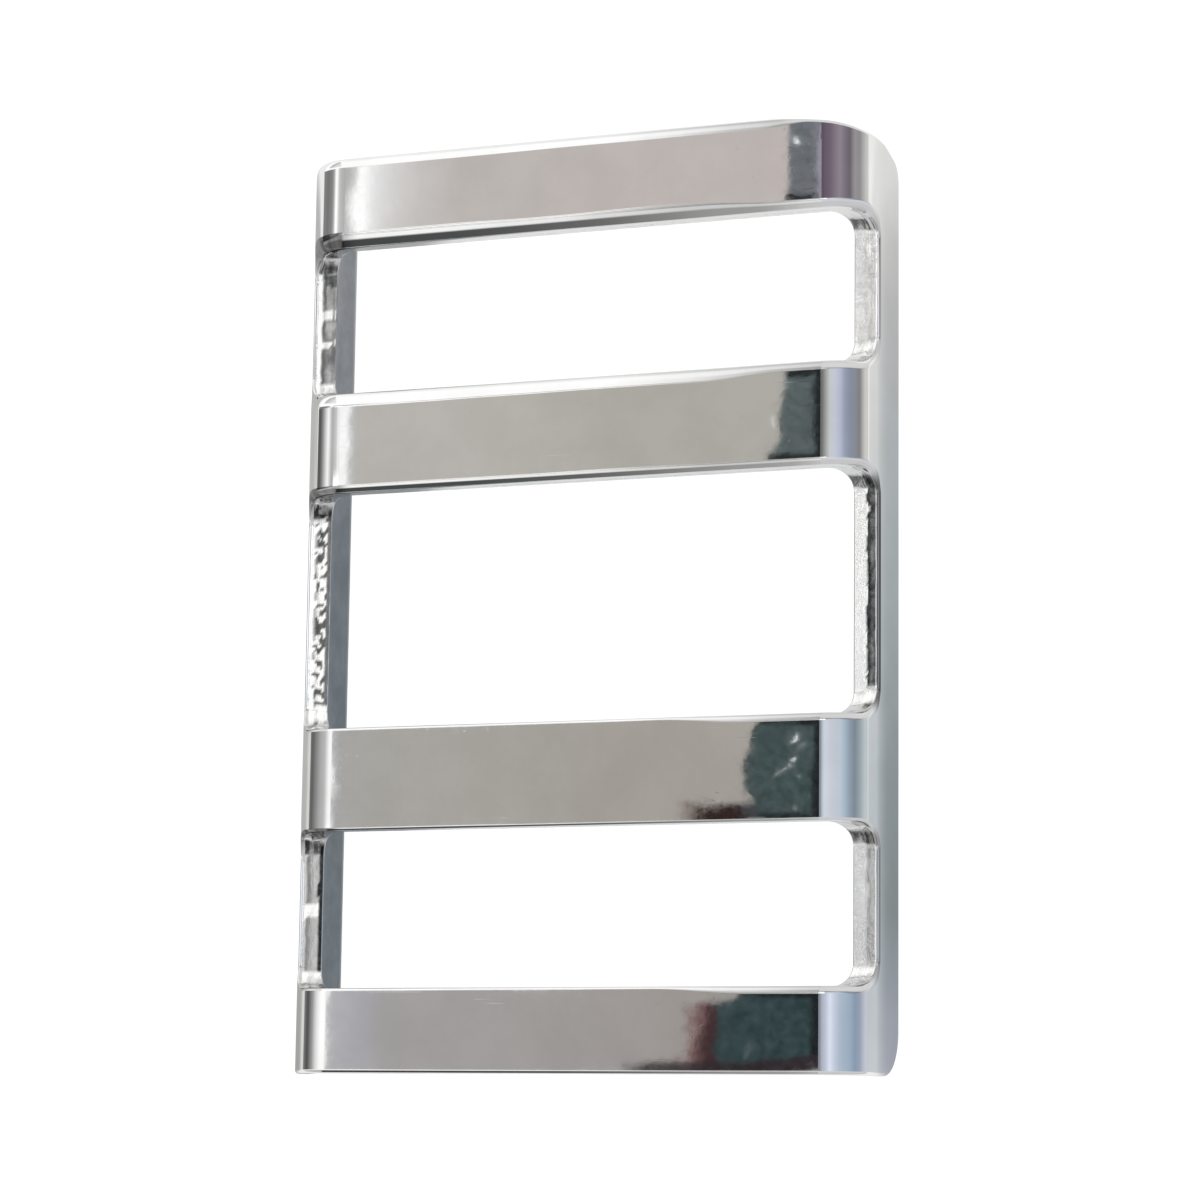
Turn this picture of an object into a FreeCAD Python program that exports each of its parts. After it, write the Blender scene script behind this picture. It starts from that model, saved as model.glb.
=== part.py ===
import FreeCAD, Part
import math
import os
import Sketcher

# Four-bar ladder slider for 25 mm webbing: one piece of sheet steel, pierced
# with three windows and bent into a shallow channel.  The four bars run
# unbroken round both bends into the side walls.
#
# Frame: X across the strap (along the bars), Y along the strap, +Z out of the
# show face.  Origin: bottom centre, on the plane the side walls stand on.

Vector = FreeCAD.Vector
Vector2d = FreeCAD.Base.Vector2d

doc = FreeCAD.newDocument("slider")

# ------------------------------------------------------------ dimensions (mm)
# alias, value or formula, meaning
DIMENSIONS = [
    ("overall_width", "28.0", "across both side walls (X)"),
    ("wall_height", "4.2", "side wall foot to show face (Z)"),
    ("sheet_thick", "1.1", "sheet thickness"),
    ("bend_radius", "2.35", "outside bend radius"),
    ("bar_one", "4.3", "end bar at +Y"),
    ("gap_one", "6.9", "end window at +Y"),
    ("bar_two", "4.7", "inner bar, +Y side"),
    ("gap_two", "10.9", "centre window"),
    ("bar_three", "4.7", "inner bar, -Y side"),
    ("gap_three", "7.1", "end window at -Y"),
    ("bar_four", "3.8", "end bar at -Y"),
    ("window_depth", "1.6", "show face down to the window ends in the side walls"),
    ("land_overrun", "0.12", "how far the window tool runs past the level land on a wall"),
    ("window_corner", "1.2", "corner radius of the windows"),
    ("foot_corner", "2.0", "corner radius at the free corners of the side walls"),
    ("skew_start", "9.88", "X where the skew cut at the +X, +Y corner meets the end"),
    ("skew_x", "0.143", "how fast that cut falls back per mm of X"),
    ("skew_z", "0.25", "how fast that cut falls back per mm below the show face"),
    ("skew_ease", "4.0", "radius that eases the end into the skew cut"),
    ("skew_foot", "1.0", "corner radius at the foot of the skew cut"),
    ("edge_roll", "0.25", "rolled edge left by the blanking punch on the show side"),
    ("overall_length",
     "=bar_one+gap_one+bar_two+gap_two+bar_three+gap_three+bar_four",
     "along the strap (Y)"),
    ("top_one", "=overall_length/2-bar_one", "+Y edge of the end window at +Y"),
    ("low_one", "=top_one-gap_one", "-Y edge of the end window at +Y"),
    ("top_two", "=low_one-bar_two", "+Y edge of the centre window"),
    ("low_two", "=top_two-gap_two", "-Y edge of the centre window"),
    ("low_three", "=-overall_length/2+bar_four", "-Y edge of the end window at -Y"),
    ("top_three", "=low_three+gap_three", "+Y edge of the end window at -Y"),
    ("window_floor", "=wall_height-window_depth", "Z of the level land under the windows"),
]

# name, alias of the -Y edge, alias of the +Y edge
WINDOWS = [
    ("end_window_plus", "low_one", "top_one"),
    ("centre_window", "low_two", "top_two"),
    ("end_window_minus", "low_three", "top_three"),
]


def fill_sheet():
    """Write the dimensions to a spreadsheet and return their values by alias."""
    sheet = doc.addObject("Spreadsheet::Sheet", "dims")
    for column, heading in zip("ABC", ("alias", "mm", "meaning")):
        sheet.set(column + "1", heading)
    for row, (alias, value, meaning) in enumerate(DIMENSIONS, 2):
        sheet.set("A%d" % row, alias)
        sheet.set("B%d" % row, value)
        sheet.setAlias("B%d" % row, alias)
        sheet.set("C%d" % row, meaning)
    doc.recompute()
    return {alias: float(getattr(sheet, alias)) for alias, _value, _meaning in DIMENSIONS}


dims = fill_sheet()
WIDTH = dims["overall_width"]
LENGTH = dims["overall_length"]
HEIGHT = dims["wall_height"]
THICK = dims["sheet_thick"]
BEND = dims["bend_radius"]
BEND_X = WIDTH / 2 - BEND     # bend axes, at +X and -X
BEND_Z = HEIGHT - BEND

# edge selection
TOUCH = 1e-4                  # within this of a plane counts as on it
SKIN_TOUCH = 1e-3             # the same, for the outside skin
ACROSS_WALL = THICK * 0.9     # an edge longer than this crosses the sheet
SKEW_FOOT_REACH = 3.0         # the skew cut's foot edge is this near the +Y end
SKEW_FOOT_SLOPE = 0.3         # most that edge runs in Y

# cutting tools
POCKET_SPARE = 2              # extra length of the window pockets
SKIN_CLEARANCE = 0.5          # window end tools start this far outside the bend
TOOL_SPARE = 1.2              # their depth beyond one sheet thickness
FACE_OVERLAP = 0.02           # radians they reach back over the show face
CORNER_POINTS = 9             # points along each rounded corner
BOX_SPARE = 10                # extra length of the box that levels the tools


# ------------------------------------------------------------ sketch helpers
START, END, CENTRE = 1, 2, 3  # points of a sketch element
X_AXIS, Y_AXIS = -1, -2
ORIGIN = (-1, START)


def new_sketch(body, name, role):
    plane = next(f for f in body.Origin.OriginFeatures if f.Role == role)
    sketch = body.newObject("Sketcher::SketchObject", name)
    sketch.AttachmentSupport = [(plane, "")]
    sketch.MapMode = "FlatFace"
    return sketch


def add_line(sketch, x1, y1, x2, y2):
    return sketch.addGeometry(Part.LineSegment(Vector(x1, y1, 0), Vector(x2, y2, 0)), False)


def add_arc(sketch, x, y, radius, first, last):
    """Arc about (x, y) from the first to the last angle, in degrees."""
    circle = Part.Circle(Vector(x, y, 0), Vector(0, 0, 1), radius)
    return sketch.addGeometry(
        Part.ArcOfCircle(circle, math.radians(first), math.radians(last)), False)


def add_loop(sketch, corners):
    """Closed run of lines through the corners; returns the line numbers."""
    return [add_line(sketch, *a, *b) for a, b in zip(corners, corners[1:] + corners[:1])]


def constrain(sketch, *terms):
    return sketch.addConstraint(Sketcher.Constraint(*terms))


def drive(sketch, name, formula, *terms):
    """Add a named dimension that follows the spreadsheet."""
    sketch.renameConstraint(constrain(sketch, *terms), name)
    sketch.setExpression("Constraints." + name, formula)


def make_symmetric(feature):
    # the switch is called SideType or Midplane, depending on the version
    if "SideType" in feature.PropertiesList:
        feature.SideType = "Symmetric"
    else:
        feature.Midplane = True


def require_cut(before, after, name):
    if not after.Volume < before.Volume - 1.0:
        raise RuntimeError(name + " cut nothing")


# ------------------------------------------------------------------- channel
def draw_section(body):
    """Show face, two outside bends and two side walls, one sheet thick."""
    sketch = new_sketch(body, "channel_section", "XZ_Plane")
    outer, inner = WIDTH / 2, WIDTH / 2 - THICK
    inner_bend = BEND - THICK

    left_outer = add_line(sketch, -outer, 0, -outer, BEND_Z)
    left_bend = add_arc(sketch, -BEND_X, BEND_Z, BEND, 90, 180)
    show_face = add_line(sketch, -BEND_X, HEIGHT, BEND_X, HEIGHT)
    right_bend = add_arc(sketch, BEND_X, BEND_Z, BEND, 0, 90)
    right_outer = add_line(sketch, outer, BEND_Z, outer, 0)
    right_foot = add_line(sketch, outer, 0, inner, 0)
    right_inner = add_line(sketch, inner, 0, inner, BEND_Z)
    right_bend_in = add_arc(sketch, BEND_X, BEND_Z, inner_bend, 0, 90)
    underside = add_line(sketch, BEND_X, HEIGHT - THICK, -BEND_X, HEIGHT - THICK)
    left_bend_in = add_arc(sketch, -BEND_X, BEND_Z, inner_bend, 90, 180)
    left_inner = add_line(sketch, -inner, BEND_Z, -inner, 0)
    left_foot = add_line(sketch, -inner, 0, -outer, 0)

    # end-to-end joins: tangent at the bends, plain at the feet
    for join in [
        ("Tangent", left_outer, END, left_bend, END),
        ("Tangent", left_bend, START, show_face, START),
        ("Tangent", show_face, END, right_bend, END),
        ("Tangent", right_bend, START, right_outer, START),
        ("Coincident", right_outer, END, right_foot, START),
        ("Coincident", right_foot, END, right_inner, START),
        ("Tangent", right_inner, END, right_bend_in, START),
        ("Tangent", right_bend_in, END, underside, START),
        ("Tangent", underside, END, left_bend_in, START),
        ("Tangent", left_bend_in, END, left_inner, START),
        ("Coincident", left_inner, END, left_foot, START),
        ("Coincident", left_foot, END, left_outer, START),
    ]:
        constrain(sketch, *join)
    for line in (left_outer, right_inner):
        constrain(sketch, "Vertical", line)
    for line in (show_face, right_foot, left_foot):
        constrain(sketch, "Horizontal", line)

    # walls centred on X = 0, feet on Z = 0, bends about shared centres
    constrain(sketch, "Symmetric", left_outer, START, right_outer, END, Y_AXIS)
    constrain(sketch, "PointOnObject", right_outer, END, X_AXIS)
    constrain(sketch, "Coincident", left_bend, CENTRE, left_bend_in, CENTRE)
    constrain(sketch, "Coincident", right_bend, CENTRE, right_bend_in, CENTRE)

    drive(sketch, "width", "dims.overall_width",
          "DistanceX", left_outer, START, right_outer, END, WIDTH)
    drive(sketch, "height", "dims.wall_height",
          "DistanceY", left_outer, START, show_face, START, HEIGHT)
    drive(sketch, "bend", "dims.bend_radius", "Radius", right_bend, BEND)
    drive(sketch, "thick", "dims.sheet_thick",
          "DistanceX", right_foot, END, right_foot, START, THICK)
    doc.recompute()
    return sketch


def build_channel(body):
    channel = body.newObject("PartDesign::Pad", "channel")
    channel.Profile = draw_section(body)
    make_symmetric(channel)
    channel.setExpression("Length", "dims.overall_length")
    doc.recompute()


# --------------------------------------------------- skew cut and wall corners
def cut_skew_corner(body):
    """Cut the +X, +Y corner on the skew, from the end bar down to the wall foot."""
    outward = Vector(dims["skew_x"], 1.0, -dims["skew_z"])
    outward.normalize()
    plan = body.newObject("Sketcher::SketchObject", "skew_plan")
    plan.Placement = FreeCAD.Placement(
        Vector(dims["skew_start"], LENGTH / 2, HEIGHT),
        FreeCAD.Rotation(Vector(0, 0, 1), outward))
    far = WIDTH               # the square reaches well past the part
    add_loop(plan, [(-far, -far), (far, -far), (far, far), (-far, far)])
    doc.recompute()

    skew = body.newObject("PartDesign::Pocket", "skew_corner")
    skew.Profile = plan
    skew.setExpression("Length", "dims.wall_height")
    skew.Reversed = True
    doc.recompute()


def find_edges(shape, test):
    """Numbers of the edges that pass the test, counted from 1."""
    return [i for i, edge in enumerate(shape.Edges, 1) if test(edge)]


def is_skew_line(edge):
    """Where the skew cut meets the square end, on the flat of the end bar."""
    a, b = edge.Vertexes[0].Point, edge.Vertexes[-1].Point
    on_end = abs(a.y - LENGTH / 2) < TOUCH and abs(b.y - LENGTH / 2) < TOUCH
    return (on_end and abs(a.z - b.z) > ACROSS_WALL
            and 0 < a.x < BEND_X and 0 < b.x < BEND_X)


def is_skew_foot(edge):
    """Across the foot of the +X wall, at the skew cut."""
    box = edge.BoundBox
    return (box.ZMax < TOUCH and box.XMin > 0 and box.XLength > ACROSS_WALL
            and box.YMin > LENGTH / 2 - SKEW_FOOT_REACH
            and box.YLength < SKEW_FOOT_SLOPE)


def is_foot_corner(edge):
    """Across a wall foot, at a square end."""
    box = edge.BoundBox
    return (box.ZMax < TOUCH and abs(abs(box.YMin) - LENGTH / 2) < TOUCH
            and box.YLength < TOUCH and box.XLength > ACROSS_WALL)


def round_edges(body, name, test, radius_alias):
    base = body.Tip
    fillet = body.newObject("PartDesign::Fillet", name)
    fillet.Base = (base, ["Edge%d" % n for n in find_edges(base.Shape, test)])
    fillet.setExpression("Radius", "dims." + radius_alias)
    doc.recompute()


# ------------------------------------------------------------------- windows
def cut_window(body, name, low, high):
    """Plain rectangle through the show face, for the flat part between the bends."""
    sketch = new_sketch(body, name + "_outline", "XY_Plane")
    y0, y1 = dims[low], dims[high]
    sides = add_loop(sketch, [(-BEND_X, y0), (BEND_X, y0), (BEND_X, y1), (-BEND_X, y1)])
    bottom, right, top, left = sides
    for side, following in zip(sides, sides[1:] + sides[:1]):
        constrain(sketch, "Coincident", side, END, following, START)
    constrain(sketch, "Horizontal", top)
    constrain(sketch, "Vertical", right)
    constrain(sketch, "Vertical", left)
    constrain(sketch, "Symmetric", bottom, START, bottom, END, Y_AXIS)
    drive(sketch, "flat_width", "dims.overall_width - 2 * dims.bend_radius",
          "DistanceX", bottom, START, bottom, END, 2 * BEND_X)
    drive(sketch, "opening", "dims.%s - dims.%s" % (high, low),
          "DistanceY", right, START, right, END, y1 - y0)
    # the +Y side is placed from the origin, by a distance that is always positive
    if y1 > 0:
        drive(sketch, "place", "dims." + high, "DistanceY", *ORIGIN, right, END, y1)
    else:
        drive(sketch, "place", "-dims." + high, "DistanceY", right, END, *ORIGIN, -y1)
    doc.recompute()

    before = body.Tip.Shape
    pocket = body.newObject("PartDesign::Pocket", name)
    pocket.Profile = sketch
    make_symmetric(pocket)
    pocket.setExpression("Length", "2 * dims.wall_height + %d" % POCKET_SPARE)
    doc.recompute()
    require_cut(before, pocket.Shape, name)


def window_end_tool(low, high, side):
    """Solid that cuts one window end round a bend; side is 1 for +X, -1 for -X.

    The end is drawn as on the flat sheet, a slot end with rounded corners
    measured along the outside skin.  It is laid on a cylinder about the bend
    axis and given depth square to the sheet.
    """
    y0, y1 = dims[low], dims[high]
    corner = dims["window_corner"]
    corner_angle = corner / BEND
    # angle from the face down to the window end, run past the land
    sweep = math.acos((BEND - dims["window_depth"]) / BEND) + dims["land_overrun"] / BEND
    first = -FACE_OVERLAP - math.pi / 2
    last = sweep - math.pi / 2

    skin = Part.Cylinder()
    skin.Radius = BEND + SKIN_CLEARANCE
    skin.Center = Vector(BEND_X, 0, BEND_Z)
    skin.Axis = Vector(0, 1, 0)

    # points on the skin are (angle about the bend axis, y)
    def straight(start, end):
        return Part.Geom2d.Line2dSegment(Vector2d(*start), Vector2d(*end)).toShape(skin)

    def rounded(centre_angle, centre_y, start, end):
        points = []
        for k in range(CORNER_POINTS):
            turn = start + (end - start) * k / (CORNER_POINTS - 1.0)
            points.append(Vector2d(centre_angle + corner_angle * math.cos(turn),
                                   centre_y + corner * math.sin(turn)))
        curve = Part.Geom2d.BSplineCurve2d()
        curve.interpolate(points)
        return curve.toShape(skin)

    bend_in = last - corner_angle
    edges = [
        straight((first, y0), (bend_in, y0)),
        rounded(bend_in, y0 + corner, -math.pi / 2, 0.0),
        straight((last, y0 + corner), (last, y1 - corner)),
        rounded(bend_in, y1 - corner, 0.0, math.pi / 2),
        straight((bend_in, y1), (first, y1)),
        straight((first, y1), (first, y0)),
    ]
    patch = Part.Face(skin, Part.Wire(Part.__sortEdges__(edges)))
    patch.validate()
    solid = patch.makeOffsetShape(-(THICK + TOOL_SPARE), 1e-4, fill=True)

    # the tool stops level, leaving a flat land on the side wall
    box_length = LENGTH + BOX_SPARE
    above_land = Part.makeBox(WIDTH, box_length, HEIGHT,
                              Vector(0, -box_length / 2.0, dims["window_floor"]))
    solid = solid.common(above_land)
    if side < 0:
        solid = solid.mirror(Vector(0, 0, 0), Vector(1, 0, 0))
    return solid


def cut_window_ends(body):
    tools = []
    for name, low, high in WINDOWS:
        for side, word in ((1, "right"), (-1, "left")):
            tool = doc.addObject("Part::Feature", name + "_end_" + word)
            tool.Shape = window_end_tool(low, high, side)
            tools.append(tool)
    window_ends = doc.addObject("Part::MultiFuse", "window_ends")
    window_ends.Shapes = tools
    pierced = doc.addObject("Part::Cut", "pierced_channel")
    pierced.Base = body
    pierced.Tool = window_ends
    doc.recompute()
    require_cut(body.Shape, pierced.Shape, "window_ends")
    return pierced


# --------------------------------------------------------------- rolled edge
def on_outer_skin(point):
    x, z = abs(point.x), point.z
    if z > BEND_Z and x > BEND_X:
        return abs(math.hypot(x - BEND_X, z - BEND_Z) - BEND) < SKIN_TOUCH
    return abs(z - HEIGHT) < SKIN_TOUCH or abs(x - WIDTH / 2) < SKIN_TOUCH


def is_show_edge(edge):
    """Where the outside skin meets a sheared face, except along the feet."""
    span = edge.LastParameter - edge.FirstParameter
    points = [edge.valueAt(edge.FirstParameter + span * k / 6.0) for k in range(7)]
    if not all(on_outer_skin(p) for p in points):
        return False
    if all(abs(p.z) < TOUCH for p in points):
        return False
    # a line along Y where a bend starts lies between two skin faces
    xs = [p.x for p in points]
    zs = [p.z for p in points]
    along_y = max(xs) - min(xs) < TOUCH and max(zs) - min(zs) < TOUCH
    at_bend_start = (abs(abs(xs[0]) - BEND_X) < SKIN_TOUCH
                     or abs(zs[0] - BEND_Z) < SKIN_TOUCH)
    return not (along_y and at_bend_start)


def roll_show_edges(pierced):
    roll = dims["edge_roll"]
    frame = doc.addObject("Part::Fillet", "slider_frame")
    frame.Base = pierced
    frame.Edges = [(n, roll, roll) for n in find_edges(pierced.Shape, is_show_edge)]
    doc.recompute()
    return frame


# --------------------------------------------------------------------- build
body = doc.addObject("PartDesign::Body", "bent_channel")
build_channel(body)
cut_skew_corner(body)
round_edges(body, "skew_ease", is_skew_line, "skew_ease")
round_edges(body, "skew_foot", is_skew_foot, "skew_foot")
round_edges(body, "foot_corners", is_foot_corner, "foot_corner")
for window_name, low_alias, high_alias in WINDOWS:
    cut_window(body, window_name, low_alias, high_alias)
frame = roll_show_edges(cut_window_ends(body))

# --------------------------------------------------------- checks and export
for obj in doc.Objects:
    if "Invalid" in obj.State or "Error" in obj.State:
        raise RuntimeError("failed object: %s %s" % (obj.Name, obj.State))
if frame.Shape.isNull() or not frame.Shape.isValid():
    raise RuntimeError("bad shape: " + frame.Label)
if len(frame.Shape.Solids) != 1:
    raise RuntimeError("expected one solid in " + frame.Label)

os.makedirs("parts", exist_ok=True)
frame.Shape.exportStep("parts/" + frame.Label + ".step")
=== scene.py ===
"""A slider frame for a strap: one sheet of bright-plated metal with three windows.

X runs across the strap, Y along it. The flat outer face looks up (+Z); both sides bend
down to walls that stand on z = 0. The corner at +X, +Y is cut off on the skew.
"""

import functools
import math

import bpy
import numpy as np
from mathutils import Matrix, Vector
from mathutils.geometry import delaunay_2d_cdt


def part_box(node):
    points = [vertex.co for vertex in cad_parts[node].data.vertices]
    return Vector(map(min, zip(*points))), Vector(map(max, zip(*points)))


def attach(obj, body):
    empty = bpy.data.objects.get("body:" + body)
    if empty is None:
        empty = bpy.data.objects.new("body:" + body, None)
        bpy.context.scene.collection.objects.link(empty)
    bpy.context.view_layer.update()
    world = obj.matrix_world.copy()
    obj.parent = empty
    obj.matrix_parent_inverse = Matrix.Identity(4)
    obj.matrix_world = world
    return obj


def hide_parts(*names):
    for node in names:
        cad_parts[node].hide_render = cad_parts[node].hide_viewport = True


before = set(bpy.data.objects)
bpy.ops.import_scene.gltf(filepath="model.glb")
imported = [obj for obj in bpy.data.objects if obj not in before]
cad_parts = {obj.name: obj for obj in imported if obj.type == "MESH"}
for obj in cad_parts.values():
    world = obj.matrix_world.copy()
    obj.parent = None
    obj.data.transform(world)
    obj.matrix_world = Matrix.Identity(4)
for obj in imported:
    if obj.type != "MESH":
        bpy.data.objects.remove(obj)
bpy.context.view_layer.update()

MM = 0.001

# ---------------------------------------------------------------------------
# Sizes of the sheet, in mm
# ---------------------------------------------------------------------------
frame_lo, frame_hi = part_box("slider_frame")
WIDTH = (frame_hi.x - frame_lo.x) / MM
LENGTH = (frame_hi.y - frame_lo.y) / MM
HEIGHT = (frame_hi.z - frame_lo.z) / MM
THICK = 1.1
BEND = 2.35                     # outer bend radius
WINDOWS = [(10.0, 16.9), (-5.6, 5.3), (-17.4, -10.3)]   # from y, to y
WINDOW_DEPTH = 1.6              # how far the windows reach down the bends
WINDOW_CORNER = 1.2
FOOT_CORNER = 2.0

# the skew cut: where it starts in x, its slopes, how softly it starts, its foot corner
SKEW_START = 9.88
SKEW_X = 0.143
SKEW_Z = 0.25
SKEW_EASE = 0.08
SKEW_FOOT = 1.0
SKEW_OUTLINE_START = 6.0        # the outline is redrawn from this s on

FLAT = WIDTH / 2 - BEND                       # half width of the flat face
ARC = BEND * math.pi / 2
WALL = HEIGHT - BEND
BLANK_HALF = FLAT + ARC + WALL                # half developed width, outer skin
WINDOW_HALF = FLAT + BEND * math.acos((BEND - WINDOW_DEPTH) / BEND)

# ---------------------------------------------------------------------------
# Sizes of the sheared edges, in mm. An edge goes from the outer skin over a rolled
# edge, down a burnished and then a torn band to the inner edge and the underside.
# ---------------------------------------------------------------------------
SKIN, ROLLED, BURNISHED, TORN, INNER_EDGE, UNDERSIDE = range(6)
# (band, how far across it) for each ring of points
SECTION = (
    [(SKIN, 0.0), (SKIN, 1.0)]
    + [(ROLLED, k / 8) for k in range(9)]
    + [(BURNISHED, q) for q in (0.34, 0.67, 1.0)]
    + [(TORN, k / 5) for k in range(6)]
    + [(INNER_EDGE, k / 3) for k in (1, 2, 3)]
    + [(UNDERSIDE, q) for q in (0.3, 0.65, 1.0)]
)

RIM = 0.86                      # the plain skin starts this far in
ROLL_MARGIN = 0.04              # last ring of skin before the rolled edge
BURNISH_END = 0.50              # mean depth where the burnished band ends
TEAR_START = 0.54               # mean depth where the torn band starts
TEAR = 0.045                    # how much wider the hole is on the inner side
INNER_R = 0.06
WALL_ROLL = 0.09                # edge break along the wall cuts
# (width, depth) of the rolled edge on the +Y, -Y and X sides of the blank and of each
# window; on the windows also what the Y sides turn into over the s range "right"
EDGE_ROLLS = [
    dict(plus=(0.50, 0.24), minus=(0.16, 0.13), sides=(0.16, 0.14)),
    dict(plus=(0.68, 0.38), minus=(0.66, 0.26), sides=(WALL_ROLL, WALL_ROLL),
         plus_right=(0.44, 0.30), minus_right=(0.38, 0.21), right=(6.0, 10.0)),
    dict(plus=(0.36, 0.22), minus=(0.12, 0.10), sides=(WALL_ROLL, WALL_ROLL),
         plus_right=(0.36, 0.22), minus_right=(0.34, 0.15), right=(4.0, 8.5)),
    dict(plus=(0.13, 0.11), minus=(0.12, 0.10), sides=(WALL_ROLL, WALL_ROLL),
         plus_right=(0.13, 0.11), minus_right=(0.34, 0.15), right=(4.0, 8.5)),
]
SKEW_ROLL = (0.17, 0.13)        # width and depth on the skew cut

# the wall cuts of the windows run level: height of this land over the bend axis
LAND = (BEND - WALL_ROLL) * (BEND - WINDOW_DEPTH) / BEND

# mesh spacing
OUTLINE_STEP = 0.145
FLAT_COLUMNS, ARC_COLUMNS, WALL_COLUMNS, GRID_ROWS = 75, 21, 7, 131
GRID_GAP = 0.11                 # clear space between the rim and the grid points

# Unevenness of the two faces: height, cell size in s and y, offset in s and y, seed
SKIN_WAVES = [
    (0.0016, 5.3, 4.1, 3.1, 7.7, 11),
    (0.00042, 1.7, 1.5, 9.2, 1.3, 12),
    (0.00010, 0.62, 0.58, 5.5, 2.2, 13),
]
UNDER_WAVES = [
    (0.004, 4.0, 3.1, 13.1, 5.7, 21),
    (0.0012, 1.1, 1.0, 2.2, 3.3, 22),
]


# ---------------------------------------------------------------------------
# Smooth steps and seeded noise
# ---------------------------------------------------------------------------
def ease(value, start, end):
    """Smooth step from 0 at start to 1 at end."""
    q = np.clip((np.asarray(value, float) - start) / (end - start), 0.0, 1.0)
    return q * q * (3 - 2 * q)


@functools.lru_cache(maxsize=None)
def lattice(seed):
    return np.random.RandomState(seed).uniform(-1.0, 1.0, (64, 64))


def value_noise(u, v, seed):
    """Smooth noise in -1..1, one lattice cell per unit."""
    grid = lattice(seed)
    size = grid.shape[0]
    u, v = np.asarray(u, float), np.asarray(v, float)
    iu, iv = np.floor(u).astype(int), np.floor(v).astype(int)
    fu, fv = u - iu, v - iv
    fu = fu * fu * fu * (fu * (fu * 6 - 15) + 10)
    fv = fv * fv * fv * (fv * (fv * 6 - 15) + 10)

    def row(j):
        return grid[iu % size, j % size] * (1 - fu) + grid[(iu + 1) % size, j % size] * fu

    return row(iv) * (1 - fv) + row(iv + 1) * fv


def wave(waves, s, y):
    """How far a face stands off its true form, in mm."""
    return sum(height * value_noise(s / cell_s + off_s, y / cell_y + off_y, seed)
               for height, cell_s, cell_y, off_s, off_y, seed in waves)


# ---------------------------------------------------------------------------
# The flat blank and how it is bent. s runs across the strap along the outer skin,
# y along the strap, depth is measured below the outer skin.
# ---------------------------------------------------------------------------
def bend_frame(s):
    """Outer-skin point, outward normal and tangent (towards +s) at s, in XZ."""
    s = np.asarray(s, float)
    side = np.where(s < 0, -1.0, 1.0)
    reach = np.abs(s)
    angle = np.clip((reach - FLAT) / BEND, 0.0, math.pi / 2)
    drop = np.clip(reach - FLAT - ARC, 0.0, None)
    x = np.minimum(reach, FLAT) + BEND * np.sin(angle)
    z = HEIGHT - BEND + BEND * np.cos(angle) - drop
    sine, cosine = side * np.sin(angle), np.cos(angle)
    return side * x, z, sine, cosine, cosine, -sine


def place(s, y, depth):
    x, z, normal_x, normal_z, _, _ = bend_frame(s)
    return np.stack([x - normal_x * depth, y, z - normal_z * depth], -1)


def face_normal(s, y, waves):
    h = 0.02
    slope_s = (wave(waves, s + h, y) - wave(waves, s - h, y)) / (2 * h)
    slope_y = (wave(waves, s, y + h) - wave(waves, s, y - h)) / (2 * h)
    _, _, normal_x, normal_z, tangent_x, tangent_z = bend_frame(s)
    normal = np.stack(
        [normal_x - slope_s * tangent_x, -slope_y, normal_z - slope_s * tangent_z], -1)
    return unit(normal)


def unit(vectors):
    return vectors / np.linalg.norm(vectors, axis=1)[:, None]


def outer_face(s, y, depth=0.0):
    """Points and normals on the uneven outer skin."""
    return place(s, y, depth - wave(SKIN_WAVES, s, y)), face_normal(s, y, SKIN_WAVES)


def under_face(s, y):
    """Points and normals on the uneven underside."""
    return place(s, y, THICK + wave(UNDER_WAVES, s, y)), -face_normal(s, y, UNDER_WAVES)


def skew_cut(s):
    """How far the +Y end stands back at s, on the +X side, and how fast."""
    s = np.asarray(s, float)
    x, z, _, _, tangent_x, tangent_z = bend_frame(s)
    cut = SKEW_X * (x - SKEW_START) + SKEW_Z * (HEIGHT - z)
    root = np.sqrt(cut * cut + SKEW_EASE ** 2)
    slope = (SKEW_X * tangent_x - SKEW_Z * tangent_z) * 0.5 * (1 + cut / root)
    return np.where(s > 0, 0.5 * (cut + root), 0.0), np.where(s > 0, slope, 0.0)


# the corner at the foot of the skew cut: how far it turns and the y of its centre
foot_cut, foot_slope = map(float, skew_cut(BLANK_HALF - SKEW_FOOT))
SKEW_TURN = math.pi / 2 - math.atan(foot_slope)
SKEW_Y = LENGTH / 2 - foot_cut - SKEW_FOOT * math.sqrt(1 + foot_slope ** 2)


def round_rect(x, y, half_x, half_y, radius):
    """Signed distance outside a rounded rectangle."""
    qx, qy = np.abs(x) - half_x + radius, np.abs(y) - half_y + radius
    return (np.hypot(np.maximum(qx, 0), np.maximum(qy, 0))
            + np.minimum(np.maximum(qx, qy), 0) - radius)


def inside(s, y):
    """Distance into the material from the nearest sheared edge (negative in a
    window or off the blank)."""
    distance = -round_rect(s, y, BLANK_HALF, LENGTH / 2, FOOT_CORNER)
    cut, slope = skew_cut(s)
    skew = np.minimum((LENGTH / 2 - cut - y) / np.sqrt(1 + slope ** 2), BLANK_HALF - s)
    qs, qy = s - (BLANK_HALF - SKEW_FOOT), y - SKEW_Y
    in_corner = (qs > 0) & (qy > 0) & (np.arctan2(qy, qs) < SKEW_TURN)
    skew = np.where(in_corner, SKEW_FOOT - np.hypot(qs, qy), skew)
    near_skew = (s > 4) & (y > LENGTH / 2 - 4)
    distance = np.where(near_skew, skew, distance)
    for y0, y1 in WINDOWS:
        window = round_rect(s, y - (y0 + y1) / 2, WINDOW_HALF, (y1 - y0) / 2, WINDOW_CORNER)
        distance = np.minimum(distance, window)
    return distance


# ---------------------------------------------------------------------------
# Outlines in the flat blank
# ---------------------------------------------------------------------------
def step_count(length, least=1):
    return max(least, int(round(length / OUTLINE_STEP)))


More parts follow.
